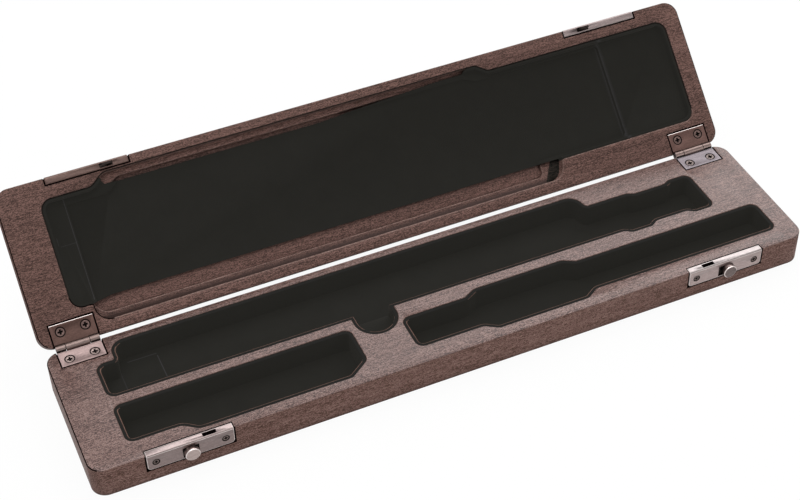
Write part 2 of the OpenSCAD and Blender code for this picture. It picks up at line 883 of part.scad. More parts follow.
module latch_spring(side) {
    // Bow of the leaf between the bolt and the back of its mortise
    room = mortise_back_y - bolt_back_y - 2 * pin_gap;
    bow = room - spring_t;
    spring_r = (spring_l * spring_l / 4 + bow * bow) / (2 * bow);
    low_z = base_h - window_down - spring_h / 2;
    near_y = bolt_back_y + pin_gap;
    color(steel_colour)
        at_latch(side)
            intersection() {
                translate([0, near_y + spring_t + spring_r, low_z])
                    difference() {
                        cylinder(spring_h, spring_r + spring_t, spring_r + spring_t, $fn = 180);
                        translate([0, 0, -overrun])
                            cylinder(spring_h + 2 * overrun, spring_r, spring_r, $fn = 180);
                    }
                block([-spring_l / 2, near_y, low_z], [spring_l / 2, mortise_back_y - pin_gap, low_z + spring_h]);
            }
}

// Hook that hangs from the lid through its strike plate, drawn as on a closed case
module strike_hook(side) {
    foot_z = lid_rim_z + plate_t;
    color(nickel_colour)
        opened()
            at_latch(side)
                translate([0, hook_y + hook_t, 0])
                    rotate([90, 0, 0])
                        linear_extrude(hook_t)
                            polygon([
                                [hook_in, foot_z],
                                [hook_in, hook_tip_z],
                                [shank_out, hook_tip_z],
                                [hook_out, hook_tip_z + hook_nose_h / 2],
                                [hook_out, hook_tip_z + hook_nose_h],
                                [shank_out, hook_tip_z + hook_nose_h],
                                [shank_out, foot_z],
                                [slot_out + shank_w / 2, foot_z],
                                [slot_out + shank_w / 2, foot_z + hook_t],
                                [slot_in - shank_w / 2, foot_z + hook_t],
                                [slot_in - shank_w / 2, foot_z]]);
}

base_shell();
body_pocket_lining();
foot_pocket_lining();
head_pocket_lining();
lid_shell();
lid_lining();
hinge_base_leaf(-1);  // left_hinge_base_leaf
hinge_lid_leaf(-1);  // left_hinge_lid_leaf
hinge_pin(-1);  // left_hinge_pin
hinge_base_leaf(1);  // right_hinge_base_leaf
hinge_lid_leaf(1);  // right_hinge_lid_leaf
hinge_pin(1);  // right_hinge_pin
hinge_screws(-1);  // left_hinge_base_screws
opened() on_lid() hinge_screws(-1);  // left_hinge_lid_screws
hinge_screws(1);  // right_hinge_base_screws
opened() on_lid() hinge_screws(1);  // right_hinge_lid_screws
latch_plate(-1);  // left_latch_plate
plate_screws(-1);  // left_latch_screws
latch_bolt(-1, left_at);  // left_latch_bolt
latch_knob(-1, left_at);  // left_latch_knob
latch_spring(-1);  // left_latch_spring
latch_plate(1);  // right_latch_plate
plate_screws(1);  // right_latch_screws
latch_bolt(1, right_at);  // right_latch_bolt
latch_knob(1, right_at);  // right_latch_knob
latch_spring(1);  // right_latch_spring
strike_plate(-1);  // left_strike_plate
strike_hook(-1);  // left_strike_hook
opened() on_lid() plate_screws(-1);  // left_strike_screws
strike_plate(1);  // right_strike_plate
strike_hook(1);  // right_strike_hook
opened() on_lid() plate_screws(1);  // right_strike_screws
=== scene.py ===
import math
from functools import partial

import bmesh
import bpy
from mathutils import Matrix, Vector


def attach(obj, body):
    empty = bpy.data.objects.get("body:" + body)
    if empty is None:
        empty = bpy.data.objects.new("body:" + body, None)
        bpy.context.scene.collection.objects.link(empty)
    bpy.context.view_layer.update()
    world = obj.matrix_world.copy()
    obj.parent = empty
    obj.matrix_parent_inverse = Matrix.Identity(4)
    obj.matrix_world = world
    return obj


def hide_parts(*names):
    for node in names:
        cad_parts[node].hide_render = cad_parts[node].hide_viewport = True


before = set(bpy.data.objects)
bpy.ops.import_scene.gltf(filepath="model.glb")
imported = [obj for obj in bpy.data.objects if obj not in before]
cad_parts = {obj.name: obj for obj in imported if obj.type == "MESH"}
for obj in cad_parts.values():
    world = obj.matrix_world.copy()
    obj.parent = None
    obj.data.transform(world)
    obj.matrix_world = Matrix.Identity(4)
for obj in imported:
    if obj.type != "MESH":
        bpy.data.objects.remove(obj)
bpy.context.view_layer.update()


# Studio: a pale sweep under the case, a large softbox behind it to the right, a
# weaker one in front, one above on the left, and a pale room round them all.
camera_data = bpy.data.cameras.new("camera")
camera_data.lens = 75.54
camera_data.sensor_width = 36
camera_data.clip_start = 0.05
camera = bpy.data.objects.new("camera", camera_data)
camera.location = (-0.26671, -0.58296, 0.64792)
camera.rotation_euler = [math.radians(turn) for turn in (47.0273, 1.0582, -23.883)]
bpy.context.scene.collection.objects.link(camera)
bpy.context.scene.camera = camera

lamps_aim = Vector((0, 0.03, 0))


def softbox(name, place, width, height, watts):
    """A rectangular lamp at a place, turned to the case."""
    lamp_data = bpy.data.lights.new(name, "AREA")
    lamp_data.shape = "RECTANGLE"
    lamp_data.size, lamp_data.size_y = width, height
    lamp_data.energy = watts
    lamp = bpy.data.objects.new(name, lamp_data)
    lamp.location = place
    lamp.rotation_euler = (lamps_aim - Vector(place)).to_track_quat("-Z", "Y").to_euler()
    bpy.context.scene.collection.objects.link(lamp)


softbox("back_softbox", (0.97, 1.08, 1.22), width=1.7, height=1.7, watts=29)
softbox("front_softbox", (0.9, -1.7, 0.8), width=1.4, height=0.9, watts=8)
softbox("top_softbox", (-0.45, 0.0, 1.7), width=1.6, height=1.2, watts=19)

world = bpy.data.worlds.new("room")
bpy.context.scene.world = world
world.use_nodes = True
bpy.context.scene.view_settings.view_transform = "Standard"

sweep_reach, sweep_drop = 6, 0.0002
sweep_bm = bmesh.new()
bmesh.ops.create_grid(sweep_bm, x_segments=1, y_segments=1, size=sweep_reach)
sweep_mesh = bpy.data.meshes.new("sweep")
sweep_bm.to_mesh(sweep_mesh)
sweep_bm.free()
sweep = bpy.data.objects.new("sweep", sweep_mesh)
sweep.location = (0, 0, -sweep_drop)
bpy.context.scene.collection.objects.link(sweep)


class Signal:
    """A node's output, with Python's own signs for its maths."""

    def __init__(self, nodes, socket):
        self.nodes, self.socket = nodes, socket

    def maths(self, operation, *values):
        inputs = {f"i{at}": value for at, value in enumerate(values)}
        return self.nodes.node("Math", {"operation": operation}, **inputs)

    def __add__(self, other):
        return self.maths("ADD", self, other)

    def __radd__(self, other):
        return self.maths("ADD", other, self)

    def __sub__(self, other):
        return self.maths("SUBTRACT", self, other)

    def __rsub__(self, other):
        return self.maths("SUBTRACT", other, self)

    def __mul__(self, other):
        return self.maths("MULTIPLY", self, other)

    def __rmul__(self, other):
        return self.maths("MULTIPLY", other, self)

    def __abs__(self):
        return self.maths("ABSOLUTE", self)

    def above(self, edge, softness):
        """0 below an edge and 1 above it, with a soft change between."""
        return self.nodes.node("MapRange", {"interpolation_type": "SMOOTHSTEP"}, Value=self,
                               From_Min=edge - softness, From_Max=edge + softness)


class Nodes:
    """A tree of shader nodes, and the one way in which nodes are added to it."""

    def __init__(self, tree):
        self.tree = tree

    def node(self, kind, settings=None, output=0, **inputs):
        """Adds a node: its settings first, then values or signals for its inputs, by name or number (i0)."""
        made = self.tree.nodes.new("ShaderNode" + kind)
        for setting, value in (settings or {}).items():
            if setting == "stops":
                ramp = made.color_ramp.elements
                for at, (place, colour) in enumerate(value):
                    stop = ramp[at] if at < len(ramp) else ramp.new(place)
                    stop.position, stop.color = place, (*colour, 1)
            else:
                setattr(made, setting, value)
        for name, value in inputs.items():
            slot = made.inputs[int(name[1:]) if name[1:].isdigit() else name.replace("_", " ")]
            if isinstance(value, Signal):
                self.tree.links.new(value.socket, slot)
            else:
                slot.default_value = value
        return Signal(self, made.outputs[output])


class Finish(Nodes):
    """A surface finish: one material, with its shader's constants set on its sockets."""

    def __init__(self, name, **constants):
        self.material = bpy.data.materials.new(name)
        self.material.use_nodes = True
        super().__init__(self.material.node_tree)
        self.shader = self.tree.nodes["Principled BSDF"]
        for socket, value in constants.items():
            self.shader.inputs[socket.replace("_", " ").title().replace("Ior", "IOR")].default_value = value

    def blend(self, factor, first, second):
        """One colour going over into another."""
        first, second = [c if isinstance(c, Signal) else (*c, 1) for c in (first, second)]
        return self.node("Mix", {"data_type": "RGBA"}, output=2, i0=factor, i6=first, i7=second)

    def show(self, **signals):
        """Leads signals to the shader's sockets."""
        for socket, signal in signals.items():
            self.tree.links.new(signal.socket, self.shader.inputs[socket.replace("_", " ")])


def seen_white(nodes, kind, plain, target, share):
    """Shows white, by a share, to the camera and to reflections, while the plain shader lights the object."""
    seen = nodes.node("LightPath", output="Is Camera Ray")
    for ray in ("Is Glossy Ray", "Is Transmission Ray"):
        seen = seen + nodes.node("LightPath", output=ray)
    white = nodes.node(kind, Color=(1, 1, 1, 1))
    mixed = nodes.node("MixShader", Fac=seen * share, i1=Signal(nodes, plain), i2=white)
    nodes.tree.links.new(mixed.socket, target)


room_strength, paper_white = 0.2, 0.94
room = Nodes(world.node_tree)
room_light = room.tree.nodes["Background"]
room_light.inputs["Color"].default_value = (1, 1, 1, 1)
room_light.inputs["Strength"].default_value = room_strength
seen_white(room, "Background", room_light.outputs[0],
           room.tree.nodes["World Output"].inputs["Surface"], share=1)
paper = Finish("sweep_paper", base_color=(0.9, 0.9, 0.9, 1), roughness=0.9, specular_ior_level=0.1)
seen_white(paper, "Emission", paper.shader.outputs[0],
           paper.tree.nodes["Material Output"].inputs["Surface"], share=paper_white)
sweep_mesh.materials.append(paper.material)


# Base: one board of dark walnut, planed square, with standing corners rounded and
# all its arrises eased. Its pockets and the fittings' seats are milled out of it.
case_l, case_w, corner_r = 0.408, 0.087, 0.008
base_h, least_pocket_h = 0.0188, 0.008
arris_r, pocket_ease, seat_ease = 0.0005, 0.0003, 0.00045
hinge_l, leaf_w, hinge_inset = 0.0235, 0.0118, 0.0188
plate_l, flange_w, plate_inset = 0.0454, 0.0039, 0.0506
seat_gap = 0.0004
# How near a point lies to the flat that it is on, and to its arc, which is made of small flats.
hair, near_arc = 1e-5, 5e-5
# The least turn at an arris, the most lean of an upright wall, and how nearly end grain faces the ends.
sharp_turn, most_lean, end_on = 0.6, 0.1, 0.98
flat_wood, edge_wood, end_wood, highlit_wood, shadow_wood = range(5)


def toned(colour, share):
    """A colour made darker or lighter by a share."""
    return [c * share for c in colour]


def walnut(name, dark, mid, light, sheen, roughness, seed=0, grime=0.8, shaded=None):
    """Walnut, its grain along the case, with shade painted in its corners and, if shaded, along a wall's
    foot.
    """
    wood = Finish(name, specular_ior_level=sheen)
    place = wood.node("TexCoord", output=3)
    board = wood.node("Mapping", Vector=place, Location=(seed, 0, 0))

    def grain(vector, along, across, detail, rough=0.5):
        """Noise drawn out along the board, by how fine it is along and across."""
        drawn = wood.node("Mapping", Vector=vector, Scale=(along, across, across))
        return wood.node("TexNoise", Vector=drawn, Scale=1, Detail=detail, Roughness=rough)

    wander_w, corner_reach, dent_h = 0.006, 0.004, 0.00012
    wander = grain(board, 9, 28, 2)
    sideways = wood.node("VectorMath", {"operation": "MULTIPLY"}, i1=(0, wander_w, wander_w),
                         i0=wood.node("CombineXYZ", X=wander, Y=wander, Z=wander))
    bent = wood.node("VectorMath", {"operation": "ADD"}, i0=board, i1=sideways)
    bands, fibres = grain(bent, 6, 150, 3, 0.55), grain(bent, 150, 2100, 2, 0.6)
    flecks, speckle = grain(bent, 700, 2100, 1), grain(bent, 2000, 3200, 1)
    pores = flecks.above(0.68, 0.14)
    tone = 0.5 + (bands - 0.5) * 0.5 + (fibres - 0.5) * 1.15 + (flecks - 0.5) * 1.35 + (speckle - 0.5) * 1.8
    colour = wood.node("ValToRGB", {"stops": [(0.2, dark), (0.9, light), (0.5, mid)]}, Fac=tone)
    colour = wood.blend(pores * 0.22, colour, toned(dark, 0.9))
    # Ambient occlusion darkens the colour in corners and narrow gaps: this is painted shade.
    corner = 1 - wood.node("AmbientOcclusion", {"samples": 8}, output=1, Distance=corner_reach)
    colour = wood.blend(corner.above(0.45, 0.4) * grime, colour, toned(dark, 0.35))
    # When shaded is given, a soft strip along the wall's foot is painted darker: painted shade.
    if shaded:
        turned, shift, foot = shaded
        shade_w, shade_softness = 0.0024, 0.002
        lying = wood.node("Mapping", Vector=place, Rotation=(turned, 0, 0), Location=shift)
        near = wood.node("SeparateXYZ", output=1, Vector=lying).above(foot - shade_w, shade_softness)
        colour = wood.blend(near * (0.6 + 0.6 * flecks), colour, toned(mid, 0.3))
    dents = 0.35 * fibres + 0.3 * speckle - 0.9 * pores
    wood.show(Base_Color=colour, Roughness=roughness + 0.2 * pores + 0.12 * (bands - 0.5),
              Normal=wood.node("Bump", Height=dents, Strength=0.35, Distance=dent_h))
    return wood.material


def workbench_copy(node):
    """A copy of a CAD solid on the workbench, its triangles merged back into whole faces."""
    bm = bmesh.new()
    bm.from_mesh(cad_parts[node].data)
    bmesh.ops.remove_doubles(bm, verts=bm.verts, dist=1e-6)
    bmesh.ops.dissolve_limit(bm, angle_limit=math.radians(0.5), verts=bm.verts, edges=bm.edges)
    return bm


def rounded(bm, picked, width, segments):
    """Rounds over the arrises that are picked, and gives the new faces."""
    arrises = [edge for edge in bm.edges
               if len(edge.link_faces) == 2 and edge.calc_face_angle() > sharp_turn and picked(edge)]
    return bmesh.ops.bevel(bm, geom=arrises, offset=width, affect="EDGES", segments=segments, profile=0.5,
                           material=-1, clamp_overlap=False)["faces"] if arrises else []


def finished(name, bm, body, materials, node, smooth=40, turn=Matrix.Identity(3), flat=0.9999):
    """Makes a mesh a piece that stands for a CAD node; turn lays it square, which shows its flats."""
    for face in bm.faces:
        face.smooth = max(abs(part) for part in turn @ face.normal) < flat
    mesh = bpy.data.meshes.new(name)
    bm.to_mesh(mesh)
    bm.free()
    piece = bpy.data.objects.new(name, mesh)
    bpy.context.scene.collection.objects.link(piece)
    for material in materials:
        mesh.materials.append(material)
    mesh.set_sharp_from_angle(angle=math.radians(smooth))
    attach(piece, body)
    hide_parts(node)


def on_outline(point):
    """Whether a point lies on the outer faces of a board that lies flat."""
    past_corner = [max(abs(place) - (size / 2 - corner_r), 0)
                   for place, size in ((point.x, case_l), (point.y, case_w))]
    return abs(math.hypot(*past_corner) - corner_r) < near_arc


def base_arris(edge):
    """Whether an edge runs round the top or the underside of the base."""
    low, high = [v.co for v in edge.verts]
    flat = abs(low.z - high.z) < hair and (low.z < hair or low.z > base_h - hair)
    return flat and on_outline(low) and on_outline(high)


def pocket_arris(edge):
    """Whether an edge runs round a pocket's mouth, where the wall is a tall one."""
    wall = min(edge.link_faces, key=lambda f: abs(f.normal.z))
    at_rim = min(v.co.z for v in edge.verts) > base_h - hair
    tall = abs(wall.normal.z) < most_lean and min(v.co.z for v in wall.verts) < base_h - least_pocket_h
    return at_rim and tall and not any(on_outline(v.co) for v in edge.verts)


def in_seat(point):
    """Whether a point of a board that lies flat is behind a leaf or a plate, or in the gap round it."""
    from_hinge, from_plate = [abs(abs(point.x) - case_l / 2 + inset) for inset in (hinge_inset, plate_inset)]
    gap = seat_gap + hair
    at_hinge = from_hinge < hinge_l / 2 + gap and point.y > case_w / 2 - leaf_w - gap
    at_plate = from_plate < plate_l / 2 + gap and point.y < flange_w + gap - case_w / 2
    return at_hinge or at_plate


def seat_arris(edge, square):
    """Whether an edge bounds a seat on the rim or on the front, between plain wood and the painted shadow."""
    low, high = [square @ v.co for v in edge.verts]
    at_back = low.y > 0 and on_outline(low) and on_outline(high)
    sides = {f.material_index for f in edge.link_faces}
    cut_side = sides in ({flat_wood, shadow_wood}, {edge_wood, shadow_wood})
    return in_seat((low + high) / 2) and not at_back and cut_side


def wood_faces(bm, square, rim_z, eased, highlit, dark):
    """Gives a board's faces their wood, and eases the arrises of its seats; square lays the board flat."""
    for face in bm.faces:
        at, normal = square @ face.calc_center_median(), square.to_3x3() @ face.normal
        # Seats, gaps round fittings and the faces given as dark are painted near black: painted shadow.
        cut = in_seat(at) and not on_outline(at) and abs(at.z - rim_z) > hair and face not in eased
        if face in dark or cut:
            face.material_index = shadow_wood
        elif face in highlit:
            face.material_index = highlit_wood
        elif on_outline(at):
            face.material_index = end_wood if abs(normal.x) > end_on else edge_wood
    for face in rounded(bm, lambda edge: seat_arris(edge, square), seat_ease, 1):
        face.material_index = shadow_wood


base_tones = (0.022, 0.006, 0.004), (0.123, 0.063, 0.052), (0.285, 0.187, 0.166)
edge_tones = (0.072, 0.039, 0.028), (0.175, 0.096, 0.081), (0.3, 0.192, 0.166)
# Lighter walnut, painted as highlight on the pockets' and lid recess's arrises, and to lift shade on far
# walls.
highlit_tones = (0.08, 0.045, 0.037), (0.18, 0.108, 0.09), (0.3, 0.2, 0.175)
# Near-black walnut, painted where there is only shadow: seats, gaps round fittings and shaded arrises.
shadow_tones = (0.002, 0.001, 0.001), (0.005, 0.003, 0.003), (0.009, 0.006, 0.005)
painted_shadow = walnut("painted_shadow", *shadow_tones, sheen=0, roughness=0.9)
highlit_walnut = walnut("highlit_walnut", *highlit_tones, sheen=0.2, roughness=0.5)
level = Matrix.Identity(4)
base_bm = workbench_copy("base_shell")
# The top's arris is painted dark as shadow at the left end; the pockets' mouths are painted light as
# highlight.
base_eased = set(rounded(base_bm, base_arris, arris_r, 3))
base_shadowed = {f for f in base_eased if f.normal.z > most_lean
             and f.calc_center_median().x < corner_r / 2 - case_l / 2}
base_highlit = set(rounded(base_bm, pocket_arris, pocket_ease, 1))
wood_faces(base_bm, level, base_h, base_eased, base_highlit, base_shadowed)
finished("base_board", base_bm, "base", (
    walnut("base_walnut", *base_tones, sheen=0.42, roughness=0.42),
    walnut("base_edge", *edge_tones, sheen=0.08, roughness=0.6),
    walnut("base_end", *edge_tones, sheen=0.12, roughness=0.5), highlit_walnut, painted_shadow), "base_shell")


# Lid: a thinner board of the same walnut, cut from a darker part, with a recess
# milled in two levels and the same eased arrises. It stands open on its hinges.
lid_open = math.radians(136.7)
lid_h, rim_gap, pin_back = 0.0135, 0.0006, 0.0011
ledge_depth, most_recess_depth, least_step, least_wall_depth = 0.006, 0.0088, 0.001, 0.002
mouth_ease, ledge_ease, highlit_from_x = 0.00065, 0.0005, -0.158
lid_rim_z = base_h + rim_gap
axis = Vector((0, case_w / 2 + pin_back, base_h + rim_gap / 2))
to_closed = Matrix.Translation(axis) @ Matrix.Rotation(lid_open, 4, "X") @ Matrix.Translation(-axis)
turn_closed = to_closed.to_3x3()
lid_shift = axis - Matrix.Rotation(lid_open, 3, "X") @ axis
# Past this line the ledge is painted near black as a hollow in shade: a point of it, and the way to the
# hollow.
hollow_shade_at, hollow_shade_way = Vector((0.0978, 0.0308, 0)), Vector((0.88, 0.47, 0))
ledge_wood, hollow_shade_wood, far_ledge_lit_wood, far_mouth_shade_wood = range(5, 9)


def closed_middle(face):
    """The middle of a lid's face, in the closed case."""
    return to_closed @ face.calc_center_median()


def lid_arris(edge):
    """Whether an edge runs round the rim or the outer face of the lid."""
    low, high = [to_closed @ v.co for v in edge.verts]
    flat = abs(low.z - high.z) < hair and (low.z < lid_rim_z + hair or low.z > lid_rim_z + lid_h - hair)
    return flat and on_outline(low) and on_outline(high)


def recess_arris(edge, depth):
    """Whether an edge runs along the recess's mouth, at no depth, or along the ledge, at the ledge's."""
    low, high = [to_closed @ v.co for v in edge.verts]
    at_depth = abs(low.z - high.z) <= hair and abs(low.z - lid_rim_z - depth) <= hair
    if not at_depth or on_outline(low) or on_outline(high):
        return False
    wall = min(edge.link_faces, key=lambda f: abs((turn_closed @ f.normal).z))
    foot = max((to_closed @ v.co).z for v in wall.verts) - lid_rim_z
    return foot > depth + least_step if depth else ledge_depth - hair < foot < most_recess_depth


lid_tones = (0.045, 0.025, 0.02), (0.125, 0.069, 0.058), (0.245, 0.14, 0.118)
hollow_shade_tones = (0.011, 0.0105, 0.009), (0.019, 0.0175, 0.0152), (0.045, 0.034, 0.028)
far_mouth_shade_tones = (0.014, 0.011, 0.01), (0.034, 0.026, 0.022), (0.06, 0.044, 0.038)
lid_bm = workbench_copy("lid_shell")
# The rim's arris is painted dark as shadow at both ends. So is the recess's mouth, but on the hinge side it
# is painted light as a highlight, as the ledge's arris is.
lid_eased = set(rounded(lid_bm, lid_arris, arris_r, 3))
lid_shadowed = {f for f in lid_eased if (turn_closed @ f.normal).z < -most_lean
            and abs(f.calc_center_median().x) > case_l / 2 - corner_r / 2}
lid_mouth = set(rounded(lid_bm, lambda edge: recess_arris(edge, 0), mouth_ease, 1))
lid_highlit = set(rounded(lid_bm, lambda edge: recess_arris(edge, ledge_depth), ledge_ease, 2))
lid_highlit |= {f for f in lid_mouth if closed_middle(f).x > highlit_from_x and closed_middle(f).y > 0}
back_ledge = [f for f in lid_bm.faces if closed_middle(f).y > 0
              and abs(closed_middle(f).z - lid_rim_z - ledge_depth) < hair]
ledge_foot = max((to_closed @ v.co).y for f in back_ledge for v in f.verts)
bmesh.ops.bisect_plane(
    lid_bm, geom=list(dict.fromkeys(part for f in back_ledge for part in (f, *f.edges, *f.verts))),
    plane_co=to_closed.inverted() @ hollow_shade_at, plane_no=turn_closed.inverted() @ hollow_shade_way)
far_mouth = {f for f in lid_mouth if closed_middle(f).y < 0}
wood_faces(lid_bm, to_closed, lid_rim_z, lid_eased, lid_highlit, (lid_shadowed | lid_mouth) - lid_highlit)
# On the far side the mouth's shadow line is painted a softer dark brown: painted shade.
for face in far_mouth:
    if face.is_valid and face.material_index == shadow_wood:
        face.material_index = far_mouth_shade_wood
for face in lid_bm.faces:
    at = closed_middle(face)
    depth = at.z - lid_rim_z
    if face.material_index == flat_wood and least_wall_depth < depth < ledge_depth + hair:
        on_ledge = depth > ledge_depth - hair
        # On the far side the ledge and its walls are painted lighter, to lift the shade that falls on them.
        if at.y <= 0:
            face.material_index = far_ledge_lit_wood if on_ledge else highlit_wood
        elif on_ledge:
            face.material_index = hollow_shade_wood if (at - hollow_shade_at).dot(hollow_shade_way) > 0 else ledge_wood
lid_walnut = partial(walnut, sheen=0.12, roughness=0.55, seed=0.7)
finished("lid_board", lid_bm, "lid", (
    lid_walnut("lid_walnut", *lid_tones, grime=0.25), lid_walnut("lid_edge", *lid_tones),
    lid_walnut("lid_end", *lid_tones, sheen=0.05, roughness=0.8), highlit_walnut, painted_shadow,
    lid_walnut("lid_ledge", *[toned(tone, 0.85) for tone in lid_tones], grime=0.5,
               shaded=(lid_open, lid_shift, ledge_foot)),
    lid_walnut("lid_hollow", *hollow_shade_tones, sheen=0.05, roughness=0.9),
    lid_walnut("lid_far_ledge", *[toned(tone, 1.5) for tone in lid_tones], grime=0.3),
    lid_walnut("lid_far_mouth", *far_mouth_shade_tones, sheen=0.05, roughness=0.8)), "lid_shell", turn=turn_closed)


# Linings: black short-pile velvet glued to the milled wood. The pile of the lip is
# painted brown along the near edges as a sheen highlight, and thin seams show where pieces of it meet.
lip_drop, lip_ease, pocket_floors = 0.0003, 0.0005, (0.0058, 0.0106)
wall_lean = 0.3
wall_pile, lip_pile, highlit_pile = range(1, 4)


def velvet(name, dark, light, tilt=0, shift=(0, 0, 0), seams=()):
    """Black velvet; a seam has its middle and half size, along and across, and its softness and strength."""
    # A faint emission lifts the velvet's black evenly: painted light.
    cloth = Finish(name, roughness=0.95, specular_ior_level=0.1, sheen_weight=0.04, sheen_roughness=0.35,
                   sheen_tint=(0.55, 0.47, 0.43, 1), emission_color=(0.0132, 0.0127, 0.0109, 1),
                   emission_strength=1)
    seam_colour, pile_h = (0.06, 0.057, 0.066), 0.0003
    place = cloth.node("TexCoord", output=3)
    lying = cloth.node("Mapping", Vector=place, Rotation=(tilt, 0, 0), Location=shift)
    along, across = [cloth.node("SeparateXYZ", output=way, Vector=lying) for way in (0, 1)]
    pile = cloth.node("TexNoise", Vector=place, Scale=2600, Detail=2, Roughness=0.6)
    nap = cloth.node("TexNoise", Vector=place, Scale=90, Detail=3, Roughness=0.6)
    colour = cloth.blend((pile - 0.5) * 1.2 + (nap - 0.5) * 0.9 + 0.5, dark, light)
    for x, y, half_x, half_y, softness, strength in seams:
        mask = (1 - abs(along - x).above(half_x, softness)) * (1 - abs(across - y).above(half_y, softness))
        colour = cloth.blend(mask * strength * (0.4 + 1.2 * pile), colour, seam_colour)
    cloth.show(Base_Color=colour,
               Normal=cloth.node("Bump", Height=pile + 0.5 * nap, Strength=0.6, Distance=pile_h))
    return cloth.material


def inner_lip(edge):
    """Whether an edge runs along the lip's inner side, above one of the pocket's floors."""
    wall = min(edge.link_faces, key=lambda f: abs(f.normal.z))
    foot = min(v.co.z for v in wall.verts)
    on_lip = min(v.co.z for v in edge.verts) > base_h - lip_drop - hair
    above_floor = any(abs(foot - floor) < near_arc for floor in pocket_floors)
    return on_lip and above_floor and abs(wall.normal.z) < most_lean


pile_dark, pile_light = (0.0028, 0.0027, 0.0023), (0.0082, 0.0079, 0.0069)
pocket_velvet = velvet("pocket_velvet", pile_dark, pile_light, seams=[
    (-0.1690, 0.0215, 0.00020, 0.0145, 0.0002, 0.25), (-0.1555, 0.0335, 0.008, 0.0002, 0.0002, 0.5),
    (-0.1475, 0.0235, 0.0002, 0.0085, 0.0002, 0.5)])
# The lid's last band is broad and soft: a lighter band across the pile, not a thin seam.
lid_velvet = velvet("lid_pile", pile_dark, pile_light, lid_open, lid_shift, [
    (-0.1695, -0.003, 0.00015, 0.028, 0.0002, 0.6), (-0.1738, -0.0066, 0.0042, 0.00012, 0.0002, 0.4),
    (-0.1788, -0.0095, 0.00012, 0.0022, 0.0002, 0.4), (0.1503, -0.003, 0.001, 0.03, 0.0012, 0.3)])
# Pocket walls take velvet painted a tenth lighter, to lift the shade on them.
wall_lift_velvet = velvet("wall_lift_velvet", toned(pile_dark, 1.1), toned(pile_light, 1.1))
lip_velvet = velvet("lip_velvet", (0.0015, 0.0014, 0.0015), (0.0060, 0.0058, 0.0060))
shaded_velvet = velvet("shaded_velvet", (0.001, 0.001, 0.001), (0.0045, 0.0043, 0.0038))
# Brown pile, painted as the sheen highlight on the lips' near edges.
highlit_velvet = velvet("highlit_velvet", (0.02, 0.012, 0.01), (0.24, 0.13, 0.1))

for pocket in ("body", "foot", "head"):
    lining_bm = workbench_copy(pocket + "_pocket_lining")
    rolled = set(rounded(lining_bm, inner_lip, lip_ease, 2))
    for face in lining_bm.faces:
        # Rolled lip faces turned to the back or the right take the painted sheen highlight.
        if face in rolled:
            face.material_index = highlit_pile if max(face.normal.x, face.normal.y) > wall_lean else lip_pile
        elif abs(face.normal.z) < wall_lean:
            face.material_index = wall_pile
        elif face.calc_center_median().z > base_h - lip_drop - hair:
            face.material_index = lip_pile
    finished(pocket + "_pocket_velvet", lining_bm, "base",
             (pocket_velvet, wall_lift_velvet, lip_velvet, highlit_velvet), pocket + "_pocket_lining")

lining_bm = workbench_copy("lid_lining")
for face in lining_bm.faces:
    if abs((turn_closed @ face.normal).z) < wall_lean:
        face.material_index = wall_pile
finished("lid_velvet", lining_bm, "lid", (lid_velvet, shaded_velvet), "lid_lining",
         turn=turn_closed, flat=0.93)


# Hinges: two butt hinges of stamped steel with a satin nickel plate, dulled by
# handling. Each leaf is let into its board and held by two countersunk screws.
back_y = case_w / 2
leaf_ease, head_drop, head_ease = 0.0003, 0.00015, 0.00012
# How far in front of the back a leaf's end arrises and sides stop, its knuckles start and their crease stops.
end_in, side_in, knuckle_in, crease_in, crease_h = 0.0014, 0.0012, 0.0011, 0.0004, 0.0011
plain_metal, recess_metal, arris_metal, first_part_metal = range(4)


def nickel(name, base, rough, stain, bare=1.0):
    """Brushed and stained nickel or bronze; where not bare, it is dull and not metallic."""
    metal = Finish(name, metallic=bare, roughness=rough, specular_ior_level=0.5 if bare else 0.1)
    brush_h = 0.00003
    place = metal.node("TexCoord", output=3)
    drawn = metal.node("Mapping", Vector=place, Scale=(300, 3000, 3000))
    brushed = metal.node("TexNoise", Vector=drawn, Scale=1, Detail=2)
    cloud = metal.node("TexNoise", Vector=place, Scale=1100, Detail=3, Roughness=0.6)
    colour = metal.blend((brushed - 0.5) * 2.2 + 0.5, toned(base, 0.8), toned(base, 1.2))
    colour = metal.blend(cloud.above(0.52, 0.16) * stain, colour, toned(base, 0.62))
    metal.show(Base_Color=colour, Roughness=rough + 0.06 * (cloud - 0.5) + 0.12 * (brushed - 0.5),
               Normal=metal.node("Bump", Height=brushed, Strength=0.15, Distance=brush_h))
    return metal.material


# Each leaf's plating is toned on its own, lighter or darker by the light and reflections on it: painted
# light.
leaf_metals = {
    "left_hinge_base": nickel("left_base_leaf_nickel", (0.34, 0.255, 0.244), rough=0.65, stain=0.3),
    "right_hinge_base": nickel("right_base_leaf_nickel", (0.234, 0.206, 0.221), rough=0.65, stain=0.2),
    "left_hinge_lid": nickel("left_lid_leaf_shaded_nickel", (0.1, 0.06, 0.051), rough=0.65, stain=0.4),
    "right_hinge_lid": nickel("right_lid_leaf_shaded_nickel", (0.123, 0.073, 0.063), rough=0.65, stain=0.4)}
barrel_nickel = nickel("barrel_nickel", (0.17, 0.126, 0.115), rough=0.34, stain=0.4)
lid_screw_shaded_nickel = nickel("lid_screw_shaded_nickel", (0.125, 0.083, 0.074), rough=0.4, stain=0.4)
# The screws' heads are toned the same way, each for the light on it: painted light.
screw_metals = {
    "left_hinge_base": nickel("left_screw_nickel", (0.28, 0.215, 0.2), rough=0.4, stain=0.4),
    "right_hinge_base": nickel("right_screw_nickel", (0.13, 0.104, 0.098), rough=0.4, stain=0.4),
    "left_hinge_lid": lid_screw_shaded_nickel, "right_hinge_lid": lid_screw_shaded_nickel}
# Bright metal, painted on leaves' arrises and knobs' rims as highlight.
edge_highlight = nickel("edge_highlight", (0.72, 0.64, 0.62), rough=0.35, stain=0.1)
